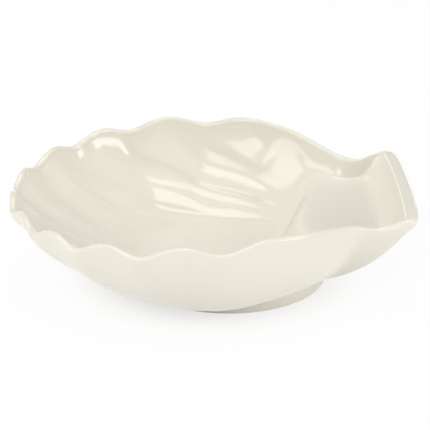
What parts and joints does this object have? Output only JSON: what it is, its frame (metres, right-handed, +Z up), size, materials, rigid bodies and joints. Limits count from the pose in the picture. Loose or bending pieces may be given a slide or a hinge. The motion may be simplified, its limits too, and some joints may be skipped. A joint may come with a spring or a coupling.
{
  "type": "shell baking dish",
  "caption": "Glazed ceramic baking dish shaped like a scallop shell, with a lobed rim, a deep bowl, a shallow trough between flared ears and a round foot.",
  "frame": {"origin": "middle of the overall length and width, on the surface that the foot stands on", "axes": "+X from the tip of the fan towards the hinge edge, +Z up out of the bowl"},
  "size_m": [0.1412, 0.1278, 0.0376],
  "materials": {
    "glazed_body": "glossy cream glaze all over except the bare foot ring"
  },
  "bodies": {
    "root": {"dish": "glazed_body"}
  },
  "joints": []
}
